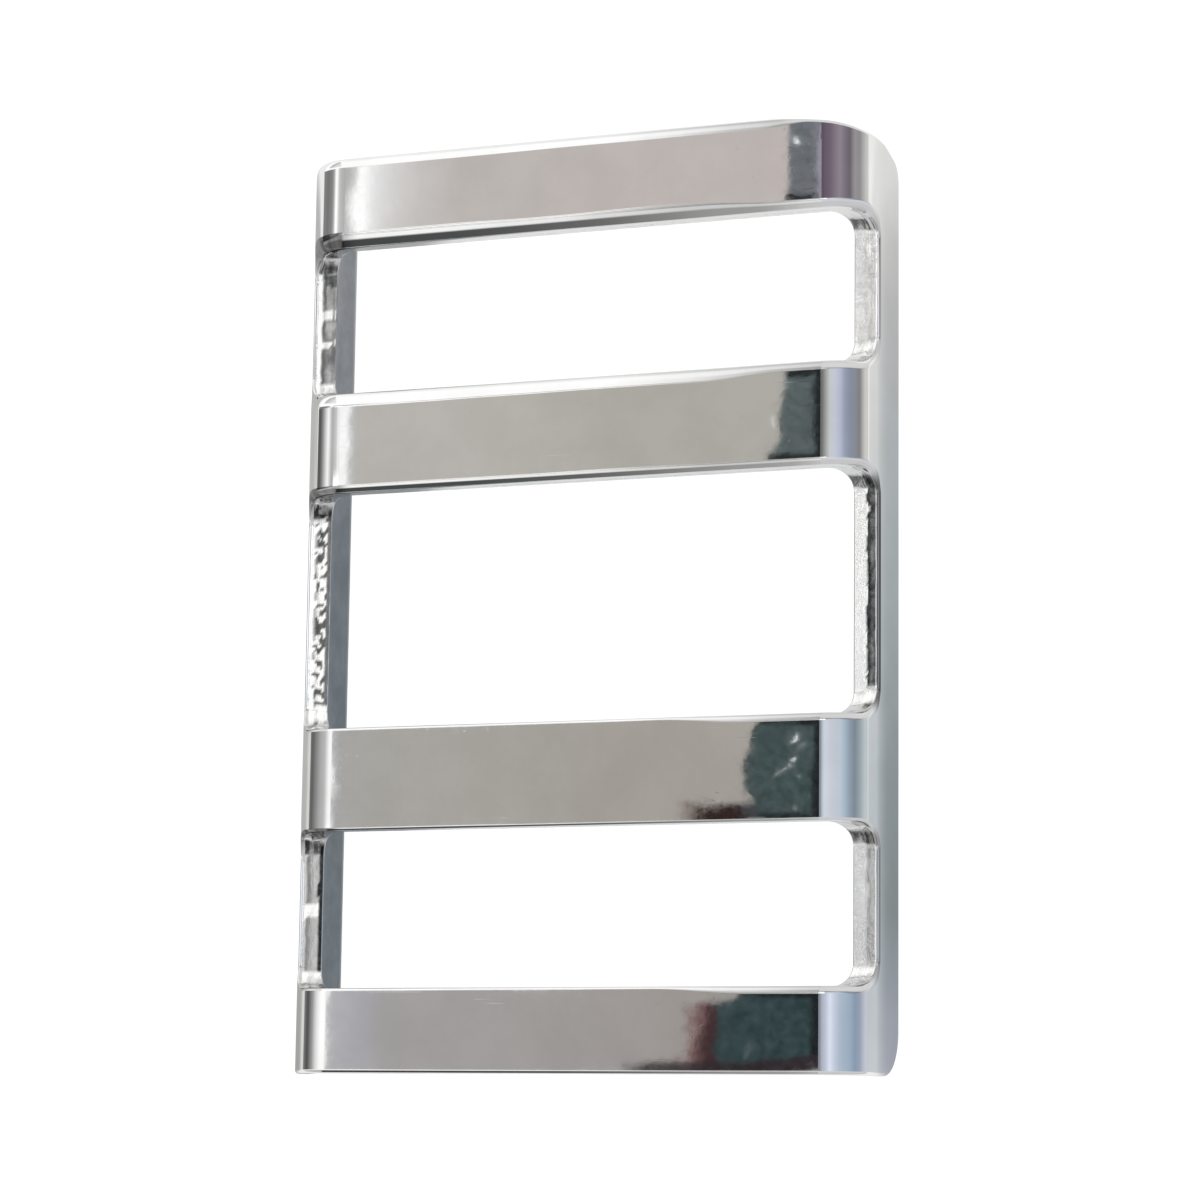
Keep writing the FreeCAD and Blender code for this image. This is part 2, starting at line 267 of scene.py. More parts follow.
def outline(half_s, half_y, radius, centre_y, sign):
    """A rounded rectangle, counter-clockwise: points, and unit directions into the
    material (sign is +1 for a window, -1 for the blank)."""
    points, normals = [], []

    def straight(start, end, normal, marks=()):
        """A run of points that also has one at each mark."""
        length = math.hypot(end[0] - start[0], end[1] - start[1])
        cuts = sorted({0.0} | {m for m in marks if 0.02 < m < length - 0.02}) + [length]
        for cut, next_cut in zip(cuts[:-1], cuts[1:]):
            count = step_count(next_cut - cut)
            for k in range(count):
                q = (cut + (next_cut - cut) * k / count) / length
                points.append((start[0] + (end[0] - start[0]) * q,
                               start[1] + (end[1] - start[1]) * q))
                normals.append(normal)

    def corner(s, y, first_angle):
        count = step_count(radius * math.pi / 2, least=6)
        for k in range(count):
            a = first_angle + math.pi / 2 * k / count
            points.append((s + radius * math.cos(a), y + radius * math.sin(a)))
            normals.append((math.cos(a), math.sin(a)))

    # the long runs carry marks where the bends start and end
    bends = [-FLAT - ARC, -FLAT, FLAT, FLAT + ARC]
    s0, s1 = -half_s + radius, half_s - radius
    low, high = centre_y - half_y, centre_y + half_y
    y0, y1 = low + radius, high - radius
    straight((s0, low), (s1, low), (0, -1), [b - s0 for b in bends])
    corner(s1, y0, -math.pi / 2)
    straight((half_s, y0), (half_s, y1), (1, 0))
    corner(s1, y1, 0.0)
    straight((s1, high), (s0, high), (0, 1), [s1 - b for b in bends])
    corner(s0, y1, math.pi / 2)
    straight((-half_s, y1), (-half_s, y0), (-1, 0))
    corner(s0, y0, math.pi)
    return np.array(points), np.array(normals) * sign


def blank_outline():
    """The outline of the blank, with its +X, +Y corner cut on the skew."""
    points, into = outline(BLANK_HALF, LENGTH / 2, FOOT_CORNER, 0.0, -1)
    s, y = points.T
    top = (s > SKEW_OUTLINE_START) & (y > LENGTH / 2 - 1e-6)
    corner = (s > BLANK_HALF - FOOT_CORNER - 1e-6) & (y > SKEW_Y - 0.07)
    replaced = np.flatnonzero(top | corner)
    centre_s = BLANK_HALF - SKEW_FOOT
    new_points, new_into = [], []
    count = step_count(SKEW_FOOT * SKEW_TURN, least=6)
    for k in range(count):
        a = SKEW_TURN * k / count
        new_points.append((centre_s + SKEW_FOOT * math.cos(a), SKEW_Y + SKEW_FOOT * math.sin(a)))
        new_into.append((-math.cos(a), -math.sin(a)))
    stops = [centre_s + SKEW_FOOT * math.cos(SKEW_TURN), FLAT + ARC, FLAT, SKEW_OUTLINE_START]
    for start, end in zip(stops[:-1], stops[1:]):
        count = step_count(start - end)
        for s in start + (end - start) * np.arange(count) / count:
            cut, slope = map(float, skew_cut(s))
            size = math.sqrt(1 + slope ** 2)
            new_points.append((float(s), LENGTH / 2 - cut))
            new_into.append((-slope / size, -1.0 / size))
    first, last = replaced[0], replaced[-1] + 1
    return (np.concatenate([points[:first], new_points, points[last:]]),
            np.concatenate([into[:first], new_into, into[last:]]))


def land_reach(depth):
    """Distance from the middle, in plan, of the level land at a depth."""
    return FLAT + np.sqrt((BEND - depth) ** 2 - LAND ** 2)


INNER_X = land_reach(THICK)
INNER_CORNER = INNER_X - FLAT


def plan_x(s, depth):
    """Distance from the middle, in plan, of a point at s and a depth."""
    reach = np.abs(s)
    angle = np.clip((reach - FLAT) / BEND, 0.0, math.pi / 2)
    return np.where(reach > FLAT, FLAT + (BEND - depth) * np.sin(angle), reach)


def inner_outline(s, y, y0, y1):
    """Where each point of a window's outline ends up on the inside, in plan: the
    inner corners are rounded as well."""
    centre, half_y = (y0 + y1) / 2, (y1 - y0) / 2
    reach, off = np.abs(s), np.abs(y - centre)
    corner_s, corner_y = WINDOW_HALF - WINDOW_CORNER, half_y - WINDOW_CORNER
    turn = np.arctan2(np.clip(reach - corner_s, 0, None), np.clip(off - corner_y, 1e-9, None))
    length = np.where(reach > corner_s, corner_s - FLAT + WINDOW_CORNER * turn, reach - FLAT)
    total = corner_s - FLAT + WINDOW_CORNER * math.pi / 2
    angle = np.clip(length / total, 0.0, 1.0) * math.pi / 2
    inner_x = np.where(reach <= FLAT, reach, FLAT + INNER_CORNER * np.sin(angle))
    inner_y = np.where(reach <= FLAT, off, half_y - INNER_CORNER * (1 - np.cos(angle)))
    on_wall = off <= corner_y
    inner_x = np.where(on_wall, INNER_X, inner_x)
    inner_y = np.where(on_wall, off * (half_y - INNER_CORNER) / corner_y, inner_y)
    return inner_x, centre + np.sign(y - centre) * inner_y


def level(s, y, depth, y0, y1):
    """Move a window's outline points at a depth so that the wall cuts run level."""
    first = land_reach(WALL_ROLL)
    share = np.clip((first - land_reach(depth)) / (first - INNER_X), 0.0, 1.0)
    inner_x, inner_y = inner_outline(s, y, y0, y1)
    outer_x = plan_x(s, WALL_ROLL)
    x = outer_x + (inner_x - outer_x) * share
    bent = FLAT + BEND * np.arcsin(np.clip((x - FLAT) / (BEND - depth), 0.0, 1.0))
    return np.sign(s) * np.where(x > FLAT, bent, x), y + (inner_y - y) * share


# ---------------------------------------------------------------------------
# Brightness on the wall cuts, 0 dark to 1 bright: the burnished and torn bands with painted
# reflections and painted shade laid over them. Each function gives the +X and the -X wall
# of one window; along runs 0..1 over the window towards +Y.
# ---------------------------------------------------------------------------
def first_window_tones(along, depth, grain, fine, drift, line):
    right = (0.97 - 0.10 * ease(grain + 0.5 * fine, 0.0, 0.7)
             - 0.16 * ease(0.22 - np.abs(depth - 0.52), 0.0, 0.2))
    # bright above, mottled below, a dark line between them
    left = np.where(depth < 0.46 + 0.05 * line, 1.0, 0.34 + 0.16 * drift + 0.14 * grain)
    left = np.where((depth > 0.44) & (depth < 0.54 + 0.04 * line), 0.16, left)
    # two bright strokes
    strokes = (np.abs(along - 0.60) < 0.030) | (np.abs(along - 0.40) < 0.022)
    left = np.where((depth > 0.46) & strokes, 0.95, left)
    # inner lip darkened as painted shade under the burr, and a patch of painted shade towards +Y
    left = np.where((depth > 0.90) & (depth < 1.03), 0.30 + 0.2 * grain, left)
    patch = (along > 0.80) & (along < 0.88) & (depth > 0.46)
    return right, np.where(patch, 0.10 + 0.06 * grain, left)


def second_window_tones(along, depth, grain, fine, drift, line):
    # painted dark reflection above with a black border, bright below
    border = 0.035 * line
    dark = 0.09 + 0.07 * grain + 0.05 * fine + 0.08 * ease(drift, 0.1, 0.6)
    right = np.where(depth < 0.53 + border, dark, 1.0)
    right = np.where((depth > 0.40 + border) & (depth < 0.53 + border), 0.0, right)
    # bright with dark pits, and a dark inner lip of painted shade under the burr
    pits = (depth > 0.34) & (depth < 0.92) & (fine + 0.35 * grain < -0.16)
    left = np.where(pits, 0.10, 1.0)
    left = np.where((depth > 0.30) & (depth < 0.50) & (grain < -0.1), 0.35, left)
    return right, np.where(depth > 0.93, 0.16, left)


def third_window_tones(along, depth, grain, fine, drift, line):
    # darker above as a painted dim reflection, a faint line halfway down
    right = 0.84 - 0.06 * ease(drift, -0.2, 0.5) - 0.22 * ease(0.62 - depth, 0.0, 0.12)
    right = right - 0.12 * ease(0.07 - np.abs(depth - 0.50 - 0.04 * drift), 0.0, 0.04)
    # two greys with a dark line between them
    border = 0.07 * drift
    left = np.where(depth < 0.34 + border, 0.66, 0.50 + 0.06 * drift)
    left = np.where((depth > 0.34 + border) & (depth < 0.42 + border), 0.22, left)
    # a bright stroke in the middle and a black inner lip of painted shade under the burr
    left = np.where(np.abs(along - 0.50 + 0.02 * drift) < 0.045, 1.0, left)
    return right, np.where(depth > 0.86, 0.015, left)


WINDOW_TONES = [first_window_tones, second_window_tones, third_window_tones]
BAR_TONE = 0.86                          # the long cuts are even
PLUS_Y_SHADE = [0.10, 0.0, 0.30]         # at the +Y end of each window's +X wall
MINUS_X_SHADE = 0.50                     # at the +Y end of the -X walls
# painted darkening of the rolled edge, standing in for a dark reflection
ROLL_PAINTED_DARK = [0.0, 0.25, 0.82, 0.50]      # rolled edge on the +X side, blank then windows


def cut_tone(index, s, y, depth, into):
    """Brightness on a sheared face."""
    if index == 0:
        return BAR_TONE
    y0, y1 = WINDOWS[index - 1]
    along = (y - y0) / (y1 - y0)
    wall = ease(np.abs(into[:, 0]), 0.35, 0.75)
    right, left = WINDOW_TONES[index - 1](
        along, depth,
        grain=value_noise(y / 0.40, depth / 0.20 + 11.0 * index, 41),
        fine=value_noise(y / 0.19, depth / 0.12 + 17.0 * index, 42),
        drift=value_noise(y / 1.5, depth / 0.50 + 23.0 * index, 43),
        line=value_noise(y / 0.45, 3.5 * index, 44))
    tone = np.where(s > 0, right, left)
    # a glint where the cut turns the -Y corner, shade at the +Y corner
    glint = ease(along, 0.125, 0.105) * ease(along, 0.035, 0.055)
    tone = tone * (1 - glint) + glint
    tone = tone * (1 - 0.45 * ease(along, 0.045, 0.030))
    shade = np.where(s > 0, PLUS_Y_SHADE[index - 1], MINUS_X_SHADE)
    tone = tone * (1 - ease(along, 0.90, 0.925) * shade)
    return np.clip(BAR_TONE * (1 - wall) + tone * wall, 0.015, 1.0)


# ---------------------------------------------------------------------------
# The sheet
# ---------------------------------------------------------------------------
class Vertices:
    """Points of the sheet, their normals and the values they carry."""

    def __init__(self):
        self.count = 0
        self.places, self.normals = [], []
        self.values = {name: [] for name in ("kind", "edge_d", "depth", "run", "tone")}

    def add(self, places, normals, **values):
        """Add points and return the number of the first. Where a normal is zero the
        mesh's own is used."""
        first = self.count
        self.count += len(places)
        self.places.append(places)
        self.normals.append(normals)
        for name, value in values.items():
            self.values[name].append(np.broadcast_to(value, len(places)))
        return first


class Edge:
    """A sheared loop. Index 0 is the blank's outline, 1 to 3 are the windows."""

    def __init__(self, index, points, into):
        self.index, self.into = index, into
        self.s, self.y = points.T
        gaps = np.hypot(*(np.roll(points, -1, 0) - points).T)
        self.run = np.concatenate([[0.0], np.cumsum(gaps)[:-1]])
        self.lane = 4.5 * index + 0.5           # each loop has its own row of noise
        # which side of the window or of the blank a point is on
        self.facing = into[:, 1] if index else -into[:, 1]
        self.plus, self.minus = ease(self.facing, 0.25, 0.98), ease(-self.facing, 0.25, 0.98)
        self.side = 1.0 - self.plus - self.minus
        self.roll_width, self.roll_depth = self.roll(0), self.roll(1)
        # ragged border between the burnished and the torn band
        self.ragged = (0.050 * self.noise(0.55, 31) + 0.035 * self.noise(0.23, 32)
                       + 0.040 * self.noise(3.1, 33))

    def noise(self, cell, seed, lane_step=1.0):
        """Noise along the loop."""
        return value_noise(self.run / cell, lane_step * self.lane, seed)

    def roll(self, column):
        """Width (column 0) or depth (column 1) of the rolled edge."""
        rolls = {name: pair[column] for name, pair in EDGE_ROLLS[self.index].items()}
        size = self.plus * rolls["plus"] + self.minus * rolls["minus"] + self.side * rolls["sides"]
        if column == 0:
            size = size * (1.0 + 0.07 * self.noise(5.0, 38) * (1 - self.side))
        if self.index == 0:
            skew = ease(self.s, 9.0, 11.2) * ease(self.facing, 0.05, 0.40)
            return size + (SKEW_ROLL[column] - size) * skew
        right = ease(self.s, *EDGE_ROLLS[self.index]["right"])
        return (size + self.plus * right * (rolls["plus_right"] - rolls["plus"])
                + self.minus * right * (rolls["minus_right"] - rolls["minus"]))

    def offset(self, kind, q):
        """Distance in from the loop and depth, at q of the way across a band."""
        turn = math.pi / 2 * q
        if kind == SKIN:
            return RIM + (self.roll_width + ROLL_MARGIN - RIM) * q, 0.0
        if kind == ROLLED:
            return self.roll_width * (1 - math.sin(turn)), self.roll_depth * (1 - math.cos(turn))
        if kind == BURNISHED:
            depth = self.roll_depth + (BURNISH_END + self.ragged - self.roll_depth) * q
            return 0.0035 * self.noise(0.19, 34, lane_step=2.0), depth
        if kind == TORN:
            start = TEAR_START + self.ragged
            depth = start + (THICK - INNER_R - start) * q
            row = 7.5 * self.index
            rough = (0.018 * value_noise(self.run / 0.31, depth / 0.17 + row, 35)
                     + 0.011 * value_noise(self.run / 0.15, depth / 0.10 + row, 36))
            return TEAR * (0.2 + 0.8 * q) * (1 - self.side) + np.abs(rough) * 0.8, depth
        if kind == INNER_EDGE:
            burr = 0.006 * self.noise(0.4, 37, lane_step=3.0)
            inset = TEAR * (1 - self.side) + INNER_R * (1 - math.cos(turn)) + burr
            return inset, THICK - INNER_R * (1 - math.sin(turn))
        return RIM, THICK

    def ring(self, kind, q):
        """s, y and depth of a ring of points."""
        inset, depth = self.offset(kind, q)
        s, y = self.s, self.y
        if self.index and kind in (BURNISHED, TORN, INNER_EDGE):
            s, y = level(s, y, depth, *WINDOWS[self.index - 1])
        if self.index == 0 and kind != UNDERSIDE:
            # the skew cut goes straight down through the bent sheet
            _, _, normal_x, normal_z, _, _ = bend_frame(s)
            lean = ease(s, 9.0, 11.0) * ease(self.facing, 0.05, 0.60)
            y = y - lean * depth * (SKEW_Z * normal_z - SKEW_X * normal_x)
        return s + self.into[:, 0] * inset, y + self.into[:, 1] * inset, depth

    def surface(self, kind, q, s, y, depth):
        """Points in space and normals of a ring."""
        if kind == SKIN:
            return outer_face(s, y, depth)
        if kind == ROLLED:
            places, normals = outer_face(s, y, depth)
            turn = math.pi / 2 * q
            _, _, _, _, tangent_x, tangent_z = bend_frame(s)
            into_s, into_y = self.into.T
            out = np.stack([-into_s * tangent_x, -into_y, -into_s * tangent_z], -1)
            normals = (normals * (self.roll_width * math.cos(turn))[:, None]
                       + out * (self.roll_depth * math.sin(turn))[:, None])
            return places, unit(normals)
        if kind == UNDERSIDE:
            return under_face(s, y)
        return place(s, y, depth), np.zeros((len(s), 3))

    def tone(self, kind, s, y, depth):
        across = np.abs(self.into[:, 0])
        if kind in (SKIN, ROLLED):
            # painted dark reflection on the rolled edges of the +X walls
            tone = 1.0 - ease(across, 0.55, 0.95) * (self.s > 0) * ROLL_PAINTED_DARK[self.index]
            if self.index:
                # painted shade in the corners at the -X end of each bar, with noise in its
                # strength
                scale = 0.70 + 0.22 * self.noise(0.30, 45) + 0.12 * self.noise(0.13, 46)
                tone = tone - self.plus * ease(-self.s, 10.9, 11.9) * scale
            return tone
        if kind in (BURNISHED, TORN):
            return cut_tone(self.index, s, y, depth, self.into)
        if kind == INNER_EDGE:
            return np.where((across > 0.7) & (self.index > 0), 0.62, 0.80)
        return 1.0


def add_edge(edge, vertices, faces):
    """Build a loop's rings from skin to underside. Returns the first and last ring,
    each as the number of its first vertex, its s and its y."""
    rings = []
    for kind, q in SECTION:
        s, y, depth = edge.ring(kind, q)
        if kind == INNER_EDGE:
            inner_s, inner_y = s, y
        if kind == UNDERSIDE:
            s = inner_s + (s - inner_s) * q
            y = inner_y + (y - inner_y) * q
        places, normals = edge.surface(kind, q, s, y, depth)
        first = vertices.add(places, normals, kind=kind, edge_d=inside(s, y), depth=depth,
                             run=edge.run, tone=edge.tone(kind, s, y, depth))
        rings.append((first, s, y))
    i = np.arange(len(edge.s))
    j = (i + 1) % len(edge.s)
    for (a, _, _), (b, _, _) in zip(rings[:-1], rings[1:]):
        quads = np.stack([a + i, b + i, b + j, a + j], -1)
        if edge.index:
            quads = quads[:, ::-1]
        faces.extend(quads.tolist())
    return rings[0], rings[-1]


def grid_points():
    """Grid over the blank, kept clear of the rims."""
    arc = FLAT + np.linspace(0, ARC, ARC_COLUMNS)[1:]
    wall = FLAT + ARC + np.linspace(0, WALL, WALL_COLUMNS)[1:]
    flat = np.linspace(-FLAT, FLAT, FLAT_COLUMNS)
    columns = np.sort(np.concatenate([-arc, -wall, flat, arc, wall]))
    rows = np.linspace(-LENGTH / 2, LENGTH / 2, GRID_ROWS)
    s, y = np.meshgrid(columns, rows, indexing="ij")
    s, y = s.ravel(), y.ravel()
    keep = inside(s, y) > RIM + GRID_GAP
    return s[keep], y[keep]


def add_plain_faces(top_rings, low_rings, vertices, faces):
    """Fill the skin and the underside between the rims with one triangulation."""
    points, constraints, top_ids, low_ids, spots = [], [], [], [], []
    for loop, ((top, s, y), (low, _, _)) in enumerate(zip(top_rings, low_rings)):
        base, count = len(points), len(s)
        points += [Vector((float(a), float(b))) for a, b in zip(s, y)]
        constraints += [(base + k, base + (k + 1) % count) for k in range(count)]
        top_ids += [top + k for k in range(count)]
        low_ids += [low + k for k in range(count)]
        spots += [(loop, k) for k in range(count)]
    rim_total = len(points)
    points += [Vector((float(a), float(b))) for a, b in zip(*grid_points())]
    found = delaunay_2d_cdt(points, constraints, [], 0, 1e-7)
    corners, triangles, sources = found[0], found[2], found[3]
    s = np.array([v[0] for v in corners])
    y = np.array([v[1] for v in corners])

    # rim points are shared with the rings, the others are new
    upper = np.full(len(s), -1)
    lower = np.full(len(s), -1)
    fresh, spot = [], {}
    for k, source in enumerate(sources):
        on_rim = [q for q in source if q < rim_total]
        if on_rim:
            upper[k], lower[k] = top_ids[on_rim[0]], low_ids[on_rim[0]]
            spot[k] = spots[on_rim[0]]
        else:
            fresh.append(k)
    fresh_s, fresh_y = s[fresh], y[fresh]
    numbers = np.arange(len(fresh))
    shared = dict(edge_d=inside(fresh_s, fresh_y), run=0.0, tone=1.0)
    upper[fresh] = numbers + vertices.add(
        *outer_face(fresh_s, fresh_y), kind=SKIN, depth=0.0, **shared)
    lower[fresh] = numbers + vertices.add(
        *under_face(fresh_s, fresh_y), kind=UNDERSIDE, depth=THICK, **shared)

    for triangle in triangles:
        triangle = list(triangle)
        # a triangle with all its corners on one rim lies in a window or off the
        # blank unless it runs the right way round
        on = [spot.get(v) for v in triangle]
        if None not in on and len({loop for loop, _ in on}) == 1:
            a, b, c = [v for _, v in sorted(zip([k for _, k in on], triangle))]
            way = (s[b] - s[a]) * (y[c] - y[a]) - (s[c] - s[a]) * (y[b] - y[a])
            if (way > 0) == (on[0][0] > 0):
                continue
        area = sum(s[v] * y[w] - s[w] * y[v]
                   for v, w in zip(triangle, triangle[1:] + triangle[:1]))
        if area < 0:
            triangle = triangle[::-1]
        faces.append([int(upper[v]) for v in triangle])
        faces.append([int(lower[v]) for v in triangle[::-1]])


def set_normals(mesh, wanted):
    """Use the wanted normals, turned to the mesh's own side; zeros keep its own."""
    own = np.zeros(len(wanted) * 3, np.float32)
    mesh.vertex_normals.foreach_get("vector", own)
    own = own.reshape(-1, 3)
    sense = np.sign((own * wanted).sum(1))
    sense[sense == 0] = 1
    given = wanted.any(axis=1)[:, None]
    final = np.where(given, wanted * sense[:, None], own)
    mesh.normals_split_custom_set_from_vertices(final.tolist())


def build_sheet():
    vertices, faces = Vertices(), []
    loops = [blank_outline()]
    for y0, y1 in WINDOWS:
        loops.append(outline(WINDOW_HALF, (y1 - y0) / 2, WINDOW_CORNER, (y0 + y1) / 2, 1))
    rings = [add_edge(Edge(index, *loop), vertices, faces) for index, loop in enumerate(loops)]
    top_rings, low_rings = zip(*rings)
    add_plain_faces(top_rings, low_rings, vertices, faces)

    mesh = bpy.data.meshes.new("slider_sheet")
    mesh.from_pydata((np.concatenate(vertices.places) * MM).tolist(), [], faces)
    mesh.validate(clean_customdata=False)
    mesh.update()
    for polygon in mesh.polygons:
        polygon.use_smooth = True
    set_normals(mesh, np.concatenate(vertices.normals))
    for name, values in vertices.values.items():
        attribute = mesh.attributes.new(name, "FLOAT", "POINT")
        attribute.data.foreach_set("value", np.concatenate(values).astype(np.float32))
    sheet = bpy.data.objects.new("slider_sheet", mesh)
    bpy.context.scene.collection.objects.link(sheet)
    return sheet


# ---------------------------------------------------------------------------
# Node helpers
# ---------------------------------------------------------------------------
class Nodes:
    """Short calls that add a node and return its output socket."""

    def __init__(self, tree):
        self.tree = tree
        tree.nodes.clear()

    def new(self, kind, inputs=None, **settings):
        """Add a node; an input is given a socket to link, a colour or a value."""
        node = self.tree.nodes.new(kind)
        for name, value in settings.items():
            setattr(node, name, value)
        for key, value in (inputs or {}).items():
            socket = node.inputs[key]
            if isinstance(value, bpy.types.NodeSocket):
                self.tree.links.new(value, socket)
            elif socket.type == "RGBA":
                socket.default_value = (*value, 1.0)
            else:
                socket.default_value = value
        return node

    def math(self, operation, a, b, clamp=False):
        node = self.new("ShaderNodeMath", {0: a, 1: b}, operation=operation, use_clamp=clamp)
        return node.outputs[0]

    def add(self, a, b):
        return self.math("ADD", a, b)

    def sub(self, a, b, clamp=False):
        return self.math("SUBTRACT", a, b, clamp)

    def mul(self, a, b, clamp=False):
        return self.math("MULTIPLY", a, b, clamp)

    def div(self, a, b):
        return self.math("DIVIDE", a, b)

    def larger(self, a, b):
        return self.math("MAXIMUM", a, b)

    def map(self, value, start, end, a, b, interpolation):
        inputs = {"Value": value, "From Min": start, "From Max": end, "To Min": a, "To Max": b}
        node = self.new("ShaderNodeMapRange", inputs, interpolation_type=interpolation)
        return node.outputs[0]

    def smooth(self, value, start, end, a=0.0, b=1.0):
        return self.map(value, start, end, a, b, "SMOOTHSTEP")

    def linear(self, value, start, end, a=0.0, b=1.0):
        return self.map(value, start, end, a, b, "LINEAR")

    def band(self, value, start, end, soft):
        """1 between start and end, fading out over soft."""
        return self.mul(self.smooth(value, start - soft, start),
                        self.smooth(value, end + soft, end))

    def mix(self, factor, a, b):
        node = self.new("ShaderNodeMix", {0: factor, 6: a, 7: b}, data_type="RGBA")
        return node.outputs[2]

    def noise(self, vector, scale, detail, roughness, distortion=0.0):
        inputs = {"Vector": vector, "Scale": scale, "Detail": detail,
                  "Roughness": roughness, "Distortion": distortion}
        return self.new("ShaderNodeTexNoise", inputs).outputs["Fac"]

    def attribute(self, name):
        return self.new("ShaderNodeAttribute", attribute_name=name).outputs["Fac"]

    def coordinates(self, name):
        return self.new("ShaderNodeTexCoord").outputs[name]

    def stretched(self, vector, **inputs):
        return self.new("ShaderNodeMapping", {"Vector": vector, **inputs}).outputs[0]

    def split(self, vector):
        return self.new("ShaderNodeSeparateXYZ", {0: vector}).outputs

    def ramp(self, value, stops):
        """Colour ramp from (position 0..1, linear colour) stops."""
        node = self.new("ShaderNodeValToRGB", {0: value})
        elements = node.color_ramp.elements
        elements.remove(elements[-1])
        elements[0].position = stops[0][0]
        elements[0].color = (*stops[0][1], 1.0)
        for position, colour in stops[1:]:
            elements.new(position).color = (*colour, 1.0)
        return node.outputs[0]

    def camera_switch(self, others, camera):
        """One shader for camera rays, another for all other rays."""
        is_camera = self.new("ShaderNodeLightPath").outputs["Is Camera Ray"]
        return self.new("ShaderNodeMixShader", {0: is_camera, 1: others, 2: camera}).outputs[0]


def srgb(*levels):
    """sRGB levels 0..255 (one for grey, or three) to a scene-linear colour."""
    if len(levels) == 1:
        levels = levels * 3
    shares = [level / 255.0 for level in levels]
    return tuple(c / 12.92 if c <= 0.04045 else ((c + 0.055) / 1.055) ** 2.4 for c in shares)


def stations(table, start, end):
    """Ramp stops from (place, sRGB grey or colour), with places from start to end."""
    return [((p - start) / (end - start), srgb(*c) if isinstance(c, tuple) else srgb(c))
            for p, c in table]


# ---------------------------------------------------------------------------
# Bright nickel plate
# ---------------------------------------------------------------------------
def plated_metal():
    material = bpy.data.materials.new("bright_plate")
    material.use_nodes = True
    tree = Nodes(material.node_tree)
    place_m = tree.coordinates("Object")
    kind = tree.attribute("kind")
    tone = tree.attribute("tone")

    def zone(start, full, fading, gone):
        """A stretch of the edge section, soft at its borders."""
        return tree.mul(tree.smooth(kind, start, full), tree.smooth(kind, fading, gone, 1.0, 0.0))

    burnished = zone(1.2, 1.9, 2.35, 2.75)
    torn = zone(2.3, 2.8, 3.3, 3.8)
    cut = zone(1.3, 2.0, 4.0, 4.8)
    under = tree.smooth(kind, 4.2, 4.9)
    rolled = zone(0.3, 0.9, 1.2, 1.9)

    # plating colour: a slightly warm white metal, cloudy at a millimetre or two
    cloud = tree.noise(place_m, scale=420.0, detail=3.0, roughness=0.55)
    fine = tree.noise(place_m, scale=2600.0, detail=2.0, roughness=0.6)
    grain = tree.noise(place_m, scale=5200.0, detail=4.0, roughness=0.7)
    colour = tree.mix(tree.smooth(cloud, 0.32, 0.70), (0.868, 0.866, 0.862), (0.918, 0.917, 0.915))
    # faint speckles in patches
    speck_noise = tree.noise(place_m, scale=4200.0, detail=1.0, roughness=0.5)
    patch_noise = tree.noise(place_m, scale=300.0, detail=2.0, roughness=0.5)
    speck = tree.mul(tree.smooth(speck_noise, 0.69, 0.77), tree.smooth(patch_noise, 0.50, 0.64))
    colour = tree.mix(tree.mul(speck, 0.22), colour, (0.66, 0.66, 0.67))
    # rolled edges darkened by their tone, which holds painted shade and a painted dark reflection,
    # then the sheared faces with grain over their tone
    cut_level = tree.add(tone, tree.mul(tree.sub(grain, 0.52), 0.22))
    cut_level = tree.mul(cut_level, 1.0, clamp=True)
    cut_colour = tree.mix(cut_level, (0.020, 0.024, 0.026), (0.985, 0.98, 0.97))
    colour = tree.mix(tree.mul(rolled, tree.sub(1.0, tone)), colour, (0.03, 0.03, 0.032))
    colour = tree.mix(cut, colour, cut_colour)
    under_noise = tree.noise(place_m, scale=700.0, detail=4.0, roughness=0.6)
    under_colour = tree.mix(tree.smooth(under_noise, 0.3, 0.7),
                            (0.44, 0.475, 0.505), (0.56, 0.59, 0.62))
    colour = tree.mix(under, colour, under_colour)

    # roughness: nearly a mirror, with this much added in each zone
    roughness = tree.linear(fine, 0.3, 0.7, 0.012, 0.024)
    for mask, amount in ((speck, 0.03), (rolled, 0.03), (burnished, 0.10), (torn, 0.12),
                         (under, 0.20)):
        roughness = tree.add(roughness, tree.mul(mask, amount))

    # height, in metres: orange peel, hair scratches along the bars, speckles, torn
    # grain, strokes down the burnished band, grain on the underside
    hair_vector = tree.stretched(place_m, Rotation=(0, 0, math.radians(7)),
                                 Scale=(300.0, 12000.0, 300.0))
    hair = tree.smooth(tree.noise(hair_vector, scale=1.0, detail=1.0, roughness=0.5), 0.72, 0.80)
    peel = tree.noise(place_m, scale=1500.0, detail=2.0, roughness=0.5)
    height = tree.mul(peel, 0.00000016)
    height = tree.sub(height, tree.mul(hair, 0.00000004))
    height = tree.sub(height, tree.mul(speck, 0.00000005))
    height = tree.add(height, tree.mul(tree.mul(torn, grain), 0.000008))
    stroke_vector = tree.stretched(place_m, Scale=(9000.0, 9000.0, 1500.0))
    stroke = tree.noise(stroke_vector, scale=1.0, detail=2.0, roughness=0.6)
    height = tree.add(height, tree.mul(tree.mul(burnished, stroke), 0.0000022))
    height = tree.add(height, tree.mul(tree.mul(under, grain), 0.0000030))
    bump = tree.new("ShaderNodeBump", {"Strength": 1.0, "Distance": 1.0, "Height": height})

    metal = tree.new("ShaderNodeBsdfPrincipled", {
        "Base Color": colour, "Metallic": 1.0, "Roughness": roughness, "Normal": bump.outputs[0]})
    tree.new("ShaderNodeOutputMaterial", {0: metal.outputs[0]})
    return material


sheet = build_sheet()
sheet.data.materials.append(plated_metal())
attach(sheet, "root")
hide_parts("slider_frame")

